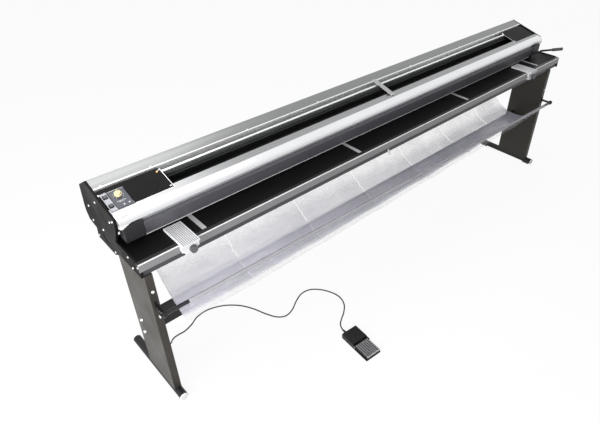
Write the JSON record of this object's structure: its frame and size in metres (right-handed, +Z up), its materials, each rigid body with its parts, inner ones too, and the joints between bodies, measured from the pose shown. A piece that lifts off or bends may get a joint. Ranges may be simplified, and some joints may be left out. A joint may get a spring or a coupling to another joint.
{
  "type": "motorised rotary trimmer",
  "caption": "Long motorised rotary cutter on a two-leg stand, with a lever-worked presser, sliding gauges, a clear film waste catcher and a foot pedal on a cord.",
  "frame": {"origin": "middle of the outline on the floor, the pedal included and its cord left out", "axes": "+X along the cut from the control panel's end, +Y from the user's side to the rear, +Z up"},
  "size_m": [3.081, 0.8986, 0.9678],
  "materials": {
    "leg_paint": "dark brown-grey fine-textured powder coat",
    "black_paint": "satin black paint",
    "plate_paint": "brownish-black textured paint",
    "table_black": "matt black coated table",
    "bright_aluminium": "silver anodised extrusion",
    "cover_aluminium": "satin silver anodised cover",
    "rail_aluminium": "grey anodised rail",
    "presser_aluminium": "dark grey anodised extrusion",
    "end_block": "gunmetal paint",
    "steel": "ground steel",
    "screw_zinc": "bright zinc",
    "bronze": "sintered bronze",
    "black_plastic": "moulded black plastic",
    "lid_black": "satin black sheet",
    "panel_blue": "dark blue-grey film with pale marks",
    "switch_grey": "light grey",
    "knob_ivory": "pale yellow moulded knob",
    "white_plastic": "white moulded plastic",
    "grip_grey": "soft grey grip",
    "rubber": "black rubber",
    "lip_rubber": "pale rubber lip",
    "clear_film": "clear crinkled polythene film",
    "rod_grey": "dark grey painted tube",
    "strip_pale": "pale inlaid strip",
    "treadle_grey": "ribbed grey plastic",
    "cord_black": "black cord sheath",
    "gauge_white": "white painted casting",
    "knob_grey": "grey moulded knob"
  },
  "bodies": {
    "machine": {"left_leg": "leg_paint", "right_leg": "leg_paint", "foot_tubes": "black_paint", "foot_caps_front": "white_plastic", "foot_caps_rear": "black_plastic", "foot_glides": "rubber", "stretcher_beam": "black_paint", "stretcher_bolts": "screw_zinc", "rod_hangers": "black_paint", "leg_plugs": "white_plastic", "film_rod": "rod_grey", "catch_film": "clear_film", "film_batten": "rail_aluminium", "table_beam": "black_paint", "table_top": "table_black", "front_rail": "rail_aluminium", "ruler_strips": "strip_pale", "table_caps": "plate_paint", "counter_blade": "steel", "left_end_plate": "plate_paint", "right_end_plate": "plate_paint", "end_screws": "screw_zinc", "front_bar": "bright_aluminium", "rear_beam": "black_paint", "rear_cover": "cover_aluminium", "guide_rod": "steel", "cross_strap": "strip_pale", "left_top_cover": "lid_black", "right_top_cover": "lid_black", "control_panel": "panel_blue", "switch_strip": "switch_grey", "control_box": "black_plastic", "drive_motor": "black_paint", "drive_belt": "rubber", "idler_axle": "steel", "power_inlet": "black_plastic", "leg_gland": "black_plastic", "pedal_cord": "cord_black", "pedal_base": "black_plastic", "pedal_pin": "steel", "presser_bushes": "black_plastic"},
    "carriage": {"carriage_body": "end_block", "carriage_bushes": "bronze"},
    "blade": {"rotary_blade": "steel"},
    "drive_wheel": {"drive_pulley": "steel"},
    "idler_wheel": {"idler_pulley": "steel"},
    "presser": {"presser_bar": "presser_aluminium", "presser_lip": "lip_rubber", "presser_ends": "end_block"},
    "lever": {"presser_shaft": "steel", "clamp_lever": "black_paint", "lever_grip": "grip_grey"},
    "left_stop": {"left_gauge": "gauge_white"},
    "right_stop": {"right_gauge": "gauge_white"},
    "left_stop_knob": {"left_gauge_knob": "knob_grey"},
    "right_stop_knob": {"right_gauge_knob": "knob_grey"},
    "selector": {"selector_knob": "knob_ivory"},
    "start_key": {"start_button": "black_plastic"},
    "stop_key": {"stop_button": "black_plastic"},
    "treadle": {"pedal_treadle": "treadle_grey"}
  },
  "joints": [
    {"name": "carriage_slide", "type": "slide", "parent": "machine", "child": "carriage", "axis": [1, 0, 0], "range_m": [0, 2.62]},
    {"name": "blade_spin", "type": "hinge", "parent": "carriage", "child": "blade", "pos_m": [-1.35, 0.21934, 0.813], "axis": [0, 1, 0], "continuous": true},
    {"name": "drive_spin", "type": "hinge", "parent": "machine", "child": "drive_wheel", "pos_m": [1.3755, 0.26234, 0.893], "axis": [0, 1, 0], "continuous": true},
    {"name": "idler_spin", "type": "hinge", "parent": "machine", "child": "idler_wheel", "pos_m": [-1.4095, 0.26234, 0.893], "axis": [0, 1, 0], "continuous": true},
    {"name": "lever_swing", "type": "hinge", "parent": "machine", "child": "lever", "pos_m": [1.5185, 0.16462, 0.7405], "axis": [1, 0, 0], "range_deg": [0, 50]},
    {"name": "presser_lift", "type": "slide", "parent": "machine", "child": "presser", "axis": [0, 0, 1], "range_m": [-0.007, 0]},
    {"name": "left_stop_slide", "type": "slide", "parent": "machine", "child": "left_stop", "axis": [1, 0, 0], "range_m": [-0.13, 1.2]},
    {"name": "right_stop_slide", "type": "slide", "parent": "machine", "child": "right_stop", "axis": [1, 0, 0], "range_m": [-1.1, 0.3]},
    {"name": "left_stop_screw", "type": "hinge", "parent": "left_stop", "child": "left_stop_knob", "pos_m": [-1.3285, -0.01366, 0.754], "axis": [0, 1, 0], "range_deg": [0, 180]},
    {"name": "right_stop_screw", "type": "hinge", "parent": "right_stop", "child": "right_stop_knob", "pos_m": [1.1515, -0.01366, 0.754], "axis": [0, 1, 0], "range_deg": [0, 180]},
    {"name": "selector_turn", "type": "hinge", "parent": "machine", "child": "selector", "pos_m": [-1.463, 0.24434, 0.92947], "axis": [0, -0.2639, 0.9646], "range_deg": [-45, 45]},
    {"name": "start_press", "type": "slide", "parent": "machine", "child": "start_key", "axis": [0, 0.2639, -0.9646], "range_m": [0, 0.003], "stiffness_N_per_m": 600, "springref_m": -0.001},
    {"name": "stop_press", "type": "slide", "parent": "machine", "child": "stop_key", "axis": [0, 0.2639, -0.9646], "range_m": [0, 0.003], "stiffness_N_per_m": 600, "springref_m": -0.001},
    {"name": "treadle_press", "type": "hinge", "parent": "machine", "child": "treadle", "pos_m": [-0.72464, -0.35665, 0.016], "axis": [0.9976, -0.0698, 0], "range_deg": [0, 4], "stiffness_Nm_per_rad": 4, "springref_deg": -2.86}
  ],
  "couplings": [
    {"joint": "blade_spin", "follows": "carriage_slide", "rad_per_m": 28.571},
    {"joint": "drive_spin", "follows": "carriage_slide", "rad_per_m": -51.813},
    {"joint": "idler_spin", "follows": "carriage_slide", "rad_per_m": -51.813},
    {"joint": "lever_swing", "follows": "presser_lift", "rad_per_m": -124.67}
  ]
}
